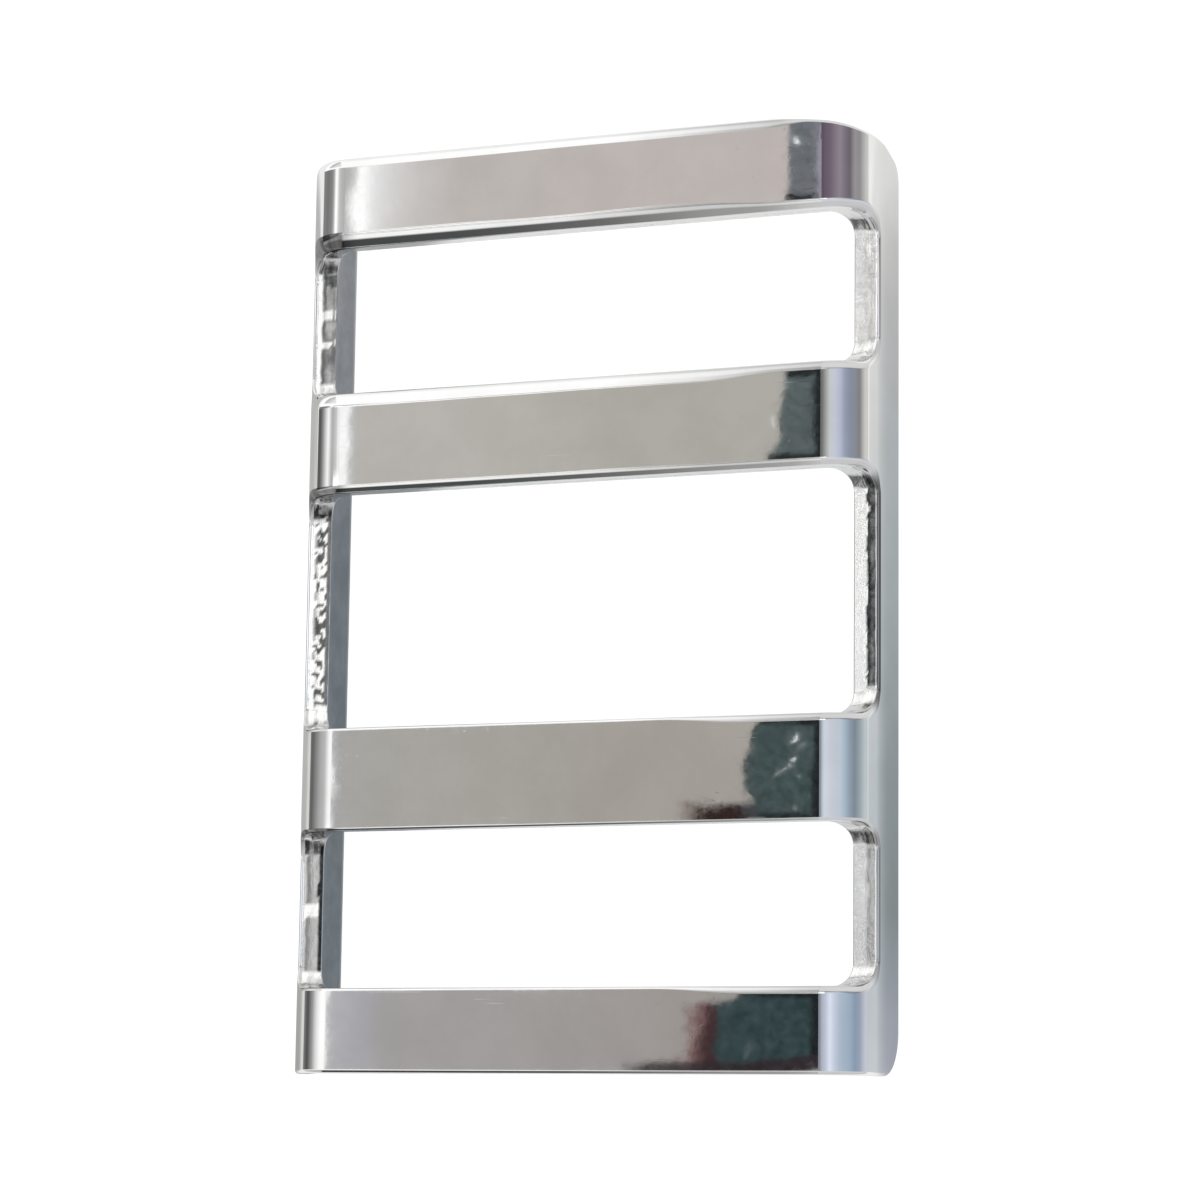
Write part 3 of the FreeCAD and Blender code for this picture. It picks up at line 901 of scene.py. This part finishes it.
# ---------------------------------------------------------------------------
# Floor. The metal sees it glowing, with painted light and shade laid out by place, darker close to
# the sheet's walls: (y in mm, sRGB) in strips across X.
# ---------------------------------------------------------------------------
FLOOR_HALF = 1.6                # metres
FLOOR_DROP = 0.00002            # metres below the sheet's feet
TABLE_END = 22                  # the tables run from -22 to 22 mm

FLOOR_BESIDE = [                # close to the +X wall
    (-22, (158, 162, 172)), (-19, (154, 158, 169)), (-14, (128, 138, 139)),
    (-8, (137, 145, 148)), (0, (158, 166, 168)), (7.6, (170, 175, 177)),
    (12, (176, 177, 178)), (16, (190, 190, 189)), (19, (214, 214, 212)), (22, (226, 226, 224))]
FLOOR_AWAY = [                  # farther towards +X
    (-22, (196, 201, 206)), (-9, (184, 191, 196)), (8, (208, 210, 210)), (22, (224, 224, 222))]
FLOOR_LEFT = [                  # close to the -X wall
    (-22, (158, 158, 157)), (-8, (178, 178, 177)), (8, (180, 180, 179)), (22, (180, 180, 179))]
FLOOR_BEYOND = [                # farther towards -X
    (-22, (214, 214, 213)), (9, (210, 210, 209)), (15, (184, 184, 183)), (22, (176, 176, 175))]
FLOOR_NEAR_WALL = [             # under the sheet, along the -X wall
    (-14, (138, 144, 148)), (0, (138, 143, 147)), (6, (146, 150, 153)), (14, (168, 168, 169)),
    (22, (172, 172, 172))]
FLOOR_UNDER = [                 # under the rest of the sheet
    (-22, (206, 208, 212)), (0, (214, 216, 218)), (22, (230, 230, 228))]


def floor_material():
    material = bpy.data.materials.new("pale_floor")
    material.use_nodes = True
    tree = Nodes(material.node_tree)
    x, y, _ = tree.split(tree.coordinates("Object"))
    # seen by the camera: white, a breath darker where the piece rests on it
    diffuse = tree.new("ShaderNodeBsdfDiffuse", {"Color": (0.22, 0.22, 0.22)})
    white = tree.new("ShaderNodeEmission", {"Color": (1, 1, 1), "Strength": 0.95})
    seen = tree.new("ShaderNodeAddShader", {0: diffuse.outputs[0], 1: white.outputs[0]})

    def along(table):
        place_y = tree.linear(y, -TABLE_END * MM, TABLE_END * MM)
        return tree.ramp(place_y, stations(table, -TABLE_END, TABLE_END))

    right = tree.mix(tree.linear(x, 0.0143, 0.0195), along(FLOOR_BESIDE), along(FLOOR_AWAY))
    left = tree.mix(tree.smooth(x, -0.040, -0.020), along(FLOOR_BEYOND), along(FLOOR_LEFT))
    under = tree.mix(tree.smooth(x, -0.0100, -0.0075), along(FLOOR_NEAR_WALL), along(FLOOR_UNDER))
    colour = tree.mix(tree.smooth(x, -0.0139, -0.0128), left, under)
    colour = tree.mix(tree.smooth(x, 0.0128, 0.0139), colour, right)
    # light past both ends of the sheet, dark far off towards -Y
    past = tree.larger(tree.smooth(y, 0.0205, 0.024), tree.smooth(y, -0.0205, -0.024))
    colour = tree.mix(past, colour, srgb(236, 236, 235))
    far = tree.mul(tree.smooth(y, -0.045, -0.085), tree.smooth(x, -0.075, -0.045))
    colour = tree.mix(far, colour, srgb(96, 98, 100))
    glow = tree.new("ShaderNodeEmission", {"Color": colour, "Strength": 1.10})
    shader = tree.camera_switch(others=glow.outputs[0], camera=seen.outputs[0])
    tree.new("ShaderNodeOutputMaterial", {0: shader})
    return material


def build_floor():
    half = FLOOR_HALF
    mesh = bpy.data.meshes.new("floor")
    corners = [(-half, -half, 0), (half, -half, 0), (half, half, 0), (-half, half, 0)]
    mesh.from_pydata(corners, [], [(0, 1, 2, 3)])
    floor = bpy.data.objects.new("floor", mesh)
    floor.location = (0, 0, -FLOOR_DROP)
    bpy.context.scene.collection.objects.link(floor)
    mesh.materials.append(floor_material())


build_floor()

# ---------------------------------------------------------------------------
# Studio: a soft tent, plain white to the camera. The metal sees soft boxes, grey
# cards and a dark corner, given by psi, the angle from straight up towards +X in
# degrees, and by y or by rise (y over z), which is constant along each flat bar.
# ---------------------------------------------------------------------------
# (psi, sRGB) round the tent as the rolled ends see it, one table per height of y
WRAP = [
    # y 0.033
    [(-180, 150), (-130, 200), (-108, 182), (-96, 170), (-89, 126), (-80, 86), (-74, 84),
     (-61, 152), (-50, 219), (-39, 253), (-29, 254), (-16, (120, 126, 138)),
     (-10, (170, 176, 190)), (-3, (186, 192, 208)), (7, (217, 224, 240)), (18, (191, 200, 215)),
     (28, (172, 185, 202)), (39, (162, 179, 197)), (50, (153, 172, 190)), (61, (137, 154, 175)),
     (72, (152, 161, 179)), (84, (190, 194, 206)), (97, (199, 204, 208)), (112, (188, 193, 197)),
     (129, (175, 180, 186)), (180, (150, 154, 162))],
    # y 0.101
    [(-180, 150), (-140, 215), (-121, 222), (-98, 148), (-88, 113), (-81, 94), (-67, 136),
     (-55, 168), (-44, 182), (-39, 210), (-33, 244), (-28, 250), (-16, (120, 128, 138)),
     (-10, (190, 198, 208)), (-5, (204, 212, 221)), (6, (198, 204, 214)), (16, (193, 200, 210)),
     (27, (187, 199, 211)), (37, (165, 183, 198)), (48, (142, 155, 170)), (59, (125, 137, 148)),
     (71, (152, 163, 170)), (83, (185, 194, 197)), (96, (186, 195, 198)), (111, (176, 185, 187)),
     (180, (140, 147, 152))],
    # y 0.195
    [(-180, 150), (-140, 205), (-125, 200), (-99, 165), (-90, 106), (-82, 80), (-74, 126),
     (-68, 167), (-61, 215), (-55, 246), (-49, 205), (-44, 169), (-33, 199), (-28, 240),
     (-16, (96, 100, 98)), (-7.7, (150, 152, 150)), (3, (196, 200, 202)), (14, (194, 198, 212)),
     (25, (180, 185, 205)), (35, (150, 157, 176)), (46, (136, 143, 160)), (58, (135, 139, 149)),
     (69, (128, 129, 131)), (82, (203, 200, 197)), (95, (210, 209, 204)), (180, (180, 182, 182))],
    # y 0.257
    [(-180, 160), (-140, 185), (-109, 172), (-97, 156), (-89, 132), (-74, 116), (-60, 134),
     (-54, 180), (-50, 254), (-46, 256), (-42, 210), (-37, 186), (-27, 176), (-16, (88, 80, 92)),
     (-9.6, (101, 89, 103)), (1.5, (111, 97, 112)), (12, (126, 115, 126)), (23, (140, 131, 142)),
     (34, (121, 114, 124)), (45, (106, 99, 106)), (56, (149, 144, 148)), (68, (142, 140, 141)),
     (81, (184, 184, 182)), (94, (212, 211, 208)), (112, (216, 216, 214)), (180, (214, 214, 212))],
]
WRAP_BORDERS = (0.066, 0.150, 0.228)        # y

# (psi, sRGB) as each flat bar sees it, from -Y to +Y
FACE_START, FACE_END = -25.6, -17.8
FACE = [
    [(-25.6, 254), (-25.52, 236), (-25.44, 180), (-25.3, (172, 171, 177)),
     (-25.0, (166, 165, 170)), (-24.6, (160, 158, 158)), (-23.5, (160, 156, 155)),
     (-19.6, (155, 150, 146)), (-17.8, (150, 146, 143))],
    [(-25.6, 250), (-25.56, 246), (-25.52, 206), (-25.46, 168), (-25.38, 161),
     (-25.28, (165, 163, 159)), (-23.5, (166, 163, 158)), (-21.2, (161, 156, 150)),
     (-19.3, (164, 159, 153)), (-17.8, (164, 159, 153))],
    [(-25.6, 240), (-25.52, 253), (-25.47, 246), (-25.42, 204), (-25.36, 184),
     (-25.28, (180, 177, 172)), (-23.6, (182, 179, 174)), (-21.2, (172, 169, 162)),
     (-17.8, (172, 169, 162))],
    [(-25.6, 176), (-25.52, 178), (-25.42, 200), (-25.36, 238), (-25.31, 262), (-25.25, 258),
     (-25.18, 240), (-25.11, 226), (-25.0, 217), (-24.7, (205, 202, 200)),
     (-24.35, (195, 191, 188)), (-23.7, (186, 180, 177)), (-21.0, (187, 180, 177)),
     (-17.8, (190, 181, 178))],
]
FACE_BORDERS = (0.072, 0.162, 0.252)        # rise

# rise range of each bar, and of its flat part
BARS = [
    (0.0225, 0.0500, 0.0246, 0.0465), (0.0940, 0.1280, 0.0963, 0.1243),
    (0.1970, 0.2310, 0.2008, 0.2268), (0.2740, 0.3060, 0.2780, 0.3070),
]

# the dark corner's edge over rise: its lead in half degrees, and how ragged it is
LEAD = [
    (0.0, 0.20), (0.024, 0.24), (0.0425, 0.25), (0.0445, 0.36), (0.060, 0.36), (0.0962, 0.53),
    (0.0995, 0.52), (0.102, 0.41), (0.110, 0.42), (0.117, 0.49), (0.1265, 0.59), (0.1985, 0.61),
    (0.2025, 0.62), (0.2050, 0.70), (0.214, 0.725), (0.229, 0.765), (0.276, 0.765),
    (0.304, 0.775)]
SHAKE = [(0.0, 1.0), (0.13, 0.9), (0.2, 0.42), (0.28, 0.14)]
RISE_END = 0.35

# small lamps seen in the flats: psi, rise, half size in psi and rise, slant, strength
GLINTS = [
    (-18.37, 0.1195, 0.040, 0.0010, 0.0, 0.95), (-18.25, 0.1169, 0.028, 0.0007, 0.0, 0.45),
    (-18.31, 0.1135, 0.050, 0.0009, 0.6, 0.80), (-18.36, 0.1115, 0.035, 0.0008, 0.0, 0.60),
    (-18.53, 0.1092, 0.040, 0.0022, 4.0, 0.50), (-18.25, 0.1079, 0.022, 0.0006, 0.0, 0.35),
    (-18.34, 0.0994, 0.020, 0.0009, 0.0, 0.40), (-18.30, 0.2955, 0.055, 0.0014, -0.5, 0.90),
    (-18.68, 0.2108, 0.028, 0.0022, -0.6, 0.60), (-18.50, 0.2222, 0.040, 0.0010, 0.0, 0.18),
    (-19.10, 0.0300, 0.060, 0.0030, 0.5, 0.06),
]

# (x, sRGB) above the bars' heights, at low, middle and high y, and below them
SKY_START, SKY_END = -0.46, -0.24
SKY_LOW = [(-0.46, 256), (-0.352, 254), (-0.338, 238), (-0.328, 214), (-0.312, 186),
           (-0.305, 158), (-0.298, 148), (-0.290, 190), (-0.27, 208)]
SKY_MIDDLE = [(-0.46, 256), (-0.350, 256), (-0.328, 240), (-0.313, 222), (-0.303, 210),
              (-0.29, 206), (-0.26, 212)]
SKY_HIGH = [(-0.46, 246), (-0.352, 232), (-0.328, 204), (-0.312, 194), (-0.30, 188),
            (-0.28, 186), (-0.24, 204)]
STRIP = [(-0.46, 254), (-0.392, 244), (-0.36, 226), (-0.328, 200), (-0.312, 198),
         (-0.303, 226), (-0.29, 218), (-0.26, 206)]
ROOM = [(-0.46, (60, 62, 62)), (-0.392, (74, 76, 75)), (-0.36, (96, 97, 96)),
        (-0.34, (128, 129, 127)), (-0.328, (148, 149, 146)), (-0.312, (152, 153, 151)),
        (-0.303, (192, 192, 192)), (-0.29, (202, 202, 204)), (-0.26, (196, 196, 199))]


def layered(tree, value, borders, half, colours):
    """Colours one after another along value, blended over each border."""
    colour = colours[0]
    for border, following in zip(borders, colours[1:]):
        colour = tree.mix(tree.smooth(value, border - half, border + half), colour, following)
    return colour


def tent_colour(tree, psi, y):
    """The tent as the rolled ends and the wall cuts see it."""
    wide = tree.linear(psi, -180.0, 180.0)
    wraps = [tree.ramp(wide, stations(table, -180, 180)) for table in WRAP]
    tent = layered(tree, y, WRAP_BORDERS, 0.020, wraps)
    # white cards at the heights between the bars, seen only by the wall cuts
    lower_gaps = tree.larger(tree.band(y, 0.124, 0.178, soft=0.004),
                             tree.band(y, 0.052, 0.084, soft=0.004))
    gaps = tree.larger(tree.band(y, 0.219, 0.240, soft=0.004), lower_gaps)
    cards = tree.larger(tree.band(psi, -38.0, -25.6, soft=2.0),
                        tree.band(psi, -18.2, -5.0, soft=0.6))
    card_colour = tree.mix(tree.smooth(y, 0.088, 0.118), srgb(272), srgb(308))
    return tree.mix(tree.mul(cards, gaps), tent, card_colour)


def corner_edge(tree, way, psi, rise, grit):
    """Angle behind the ragged edge of the dark corner."""
    coarse = tree.noise(way, scale=95.0, detail=2.0, roughness=0.5)

    def over_rise(table):
        stops = [(p / RISE_END, (v, v, v)) for p, v in table]
        ramp = tree.ramp(tree.linear(rise, 0.0, RISE_END), stops)
        return tree.new("ShaderNodeSeparateColor", {0: ramp}).outputs[0]

    edge = tree.add(-20.0, tree.mul(over_rise(LEAD), 2.0))
    jag = tree.add(tree.mul(tree.sub(coarse, 0.5), 0.62), tree.mul(tree.sub(grit, 0.5), 0.34))
    edge = tree.add(edge, tree.mul(jag, over_rise(SHAKE)))
    return tree.sub(psi, edge)


def with_dark_corner(tree, face, way, psi, rise, rim):
    """Lay the dark corner over what the flats see: ragged, wine-red low down."""
    grit = tree.noise(way, scale=420.0, detail=3.0, roughness=0.6)
    behind = corner_edge(tree, way, psi, rise, grit)
    dark = tree.smooth(behind, -0.02, 0.04)
    lower = tree.smooth(rise, 0.1020, 0.0998)
    stroke = tree.mul(tree.mul(tree.smooth(behind, -1.22, -0.84), lower),
                      tree.smooth(rise, 0.06, 0.09))
    dark = tree.larger(dark, stroke)
    wine_zone = tree.mul(tree.smooth(behind, -0.56, -0.36), tree.smooth(rise, 0.0445, 0.0425))
    dark = tree.larger(dark, wine_zone)

    mottle = tree.noise(way, scale=420.0, detail=4.0, roughness=0.70, distortion=0.15)

    def mottled(a, b):
        return tree.mix(tree.smooth(mottle, 0.30, 0.70), srgb(*a), srgb(*b))

    # from low to high rise
    colour = tree.mix(tree.smooth(rise, 0.06, 0.09),
                      mottled((34, 52, 52), (64, 80, 84)), mottled((50, 64, 63), (80, 93, 96)))
    colour = tree.mix(tree.smooth(rise, 0.14, 0.18), colour,
                      mottled((74, 84, 84), (96, 106, 109)))
    colour = tree.mix(tree.smooth(rise, 0.24, 0.26), colour,
                      mottled((86, 95, 99), (114, 115, 121)))
    # near-black rims; the highest one has a pale +X edge instead
    side_rim = tree.mul(tree.smooth(psi, -18.08, -18.0), tree.smooth(rise, 0.26, 0.25))
    colour = tree.mix(tree.mul(tree.larger(side_rim, rim), 0.95), colour, srgb(26, 29, 31))
    pale_rim = tree.mul(tree.smooth(psi, -18.06, -18.0), tree.smooth(rise, 0.25, 0.26))
    colour = tree.mix(pale_rim, colour, srgb(150, 146, 158))
    # red and brown along the edge, low down
    red = tree.mix(tree.smooth(behind, -0.48, -0.22), srgb(124, 92, 92), srgb(64, 45, 48))
    brown = tree.mix(tree.smooth(behind, -1.05, -0.80), srgb(104, 86, 82), srgb(46, 32, 31))
    brown = tree.mix(tree.smooth(behind, -0.45, -0.15), brown, srgb(64, 66, 70))
    red = tree.mix(tree.smooth(rise, 0.052, 0.066), red, brown)
    reddish = tree.mul(tree.smooth(behind, 0.02, -0.10), tree.smooth(rise, 0.110, 0.104))
    colour = tree.mix(reddish, colour, red)
    face = tree.mix(dark, face, colour)
    # a dark hem at the lowest rise
    hem = tree.mul(tree.smooth(behind, -1.60, -1.00), tree.smooth(rise, 0.0280, 0.0260))
    return tree.mix(tree.mul(hem, 0.92), face, srgb(48, 40, 44))


def with_glints(tree, face, psi, rise):
    for at_psi, at_rise, half_psi, half_rise, slant, strength in GLINTS:
        r = tree.div(tree.sub(rise, at_rise), half_rise)
        q = tree.sub(tree.div(tree.sub(psi, at_psi), half_psi), tree.mul(r, slant))
        distance = tree.add(tree.mul(q, q), tree.mul(r, r))
        spot = tree.smooth(distance, 1.0, 0.15)
        face = tree.mix(tree.mul(spot, strength), face, srgb(244, 246, 246))
    return face


def flats_colour(tree, way, psi, rise):
    """The tent as the flat bars see it."""
    close = tree.linear(psi, FACE_START, FACE_END)
    faces = [tree.ramp(close, stations(table, FACE_START, FACE_END)) for table in FACE]
    face = layered(tree, rise, FACE_BORDERS, 0.004, faces)
    on_bar = rim = None
    for low, high, flat_low, flat_high in BARS:
        bar = tree.band(rise, low, high, soft=0.0016)
        core = tree.band(rise, flat_low + 0.0019, flat_high - 0.0019, soft=0.0009)
        bar_rim = tree.sub(bar, core, clamp=True)
        on_bar = tree.larger(on_bar, bar) if on_bar else bar
        rim = tree.larger(rim, bar_rim) if rim else bar_rim
    face = with_dark_corner(tree, face, way, psi, rise, rim)
    face = with_glints(tree, face, psi, rise)
    # between the bars' heights the flat bars' edges look at a white card
    card = tree.ramp(close, [(0.0, srgb(262)), (0.56, srgb(258)), (0.70, srgb(196)),
                             (0.86, srgb(182)), (1.0, srgb(214))])
    return tree.mix(on_bar, card, face)


def with_surroundings(tree, colour, x, y, z, rise, inner):
    """Add what lies above and below the bars' heights."""
    def over_x(table):
        return tree.ramp(tree.linear(x, SKY_START, SKY_END), stations(table, SKY_START, SKY_END))

    sky = tree.mix(tree.smooth(y, 0.40, 0.56), over_x(SKY_LOW), over_x(SKY_MIDDLE))
    sky = tree.mix(tree.smooth(y, 0.72, 0.90), sky, over_x(SKY_HIGH))
    above = tree.larger(tree.mul(tree.smooth(y, 0.282, 0.302), tree.sub(1.0, inner)),
                        tree.mul(tree.smooth(rise, 0.3075, 0.312), inner))
    # well over to -X and +Y: a grey wall
    wall = tree.mix(tree.smooth(z, 0.24, 0.62), srgb(178, 181, 185), srgb(222, 224, 226))
    on_wall = tree.mul(tree.smooth(x, -0.54, -0.60), tree.smooth(y, 0.34, 0.46))
    sky = tree.mix(tree.mul(on_wall, tree.smooth(z, 0.16, 0.26)), sky, wall)
    colour = tree.mix(above, colour, sky)
    # below: a light strip, then the dark side of the room
    colour = tree.mix(tree.smooth(y, 0.015, -0.03), colour, over_x(STRIP))
    colour = tree.mix(tree.smooth(y, -0.20, -0.38), colour, over_x(ROOM))
    grey_side = tree.mul(tree.smooth(y, -0.10, -0.25), tree.smooth(x, -0.48, -0.56))
    return tree.mix(grey_side, colour, srgb(184, 183, 182))


def studio_world():
    world = bpy.data.worlds.new("studio")
    bpy.context.scene.world = world
    world.use_nodes = True
    tree = Nodes(world.node_tree)
    way = tree.coordinates("Generated")
    x, y, z = tree.split(way)
    psi = tree.mul(tree.math("ARCTAN2", x, z), 180.0 / math.pi)
    rise = tree.div(y, tree.larger(z, 0.02))

    tent = tent_colour(tree, psi, y)
    flats = flats_colour(tree, way, psi, rise)
    # the narrow range of directions that the flats see
    inner = tree.mul(tree.smooth(psi, -25.75, -25.58), tree.smooth(psi, -17.55, -17.85))
    inner = tree.mul(inner, tree.smooth(z, 0.02, 0.10))
    colour = tree.mix(inner, tent, flats)
    colour = with_surroundings(tree, colour, x, y, z, rise, inner)

    studio = tree.new("ShaderNodeBackground", {"Color": colour, "Strength": 1.12})
    plain = tree.new("ShaderNodeBackground", {"Color": (1.0, 1.0, 1.0), "Strength": 1.0})
    shader = tree.camera_switch(others=studio.outputs[0], camera=plain.outputs[0])
    tree.new("ShaderNodeOutputWorld", {0: shader})


studio_world()

# ---------------------------------------------------------------------------
# Camera
# ---------------------------------------------------------------------------
CAMERA_PLACE = (60.71185, -24.76055, 155.70343)     # mm
CAMERA_AXES = (                                     # columns: right, up, backwards
    (0.93174, 0.04266, 0.36060),
    (0.01239, 0.98876, -0.14899),
    (-0.36290, 0.14329, 0.92074),
)


def build_camera():
    data = bpy.data.cameras.new("camera")
    camera = bpy.data.objects.new("camera", data)
    bpy.context.scene.collection.objects.link(camera)
    data.sensor_fit = "HORIZONTAL"
    data.sensor_width = 36.0
    data.lens = 110.79489
    data.clip_start = 0.01
    data.clip_end = 10.0
    camera.location = Vector(CAMERA_PLACE) * MM
    camera.rotation_mode = "QUATERNION"
    # decomposing also squares up the rounded axes
    camera.rotation_quaternion = Matrix(CAMERA_AXES).to_4x4().decompose()[1]
    bpy.context.scene.camera = camera


build_camera()

view = bpy.context.scene.view_settings
view.view_transform = "Standard"
view.look = "None"
view.exposure = 0.0
view.gamma = 1.0
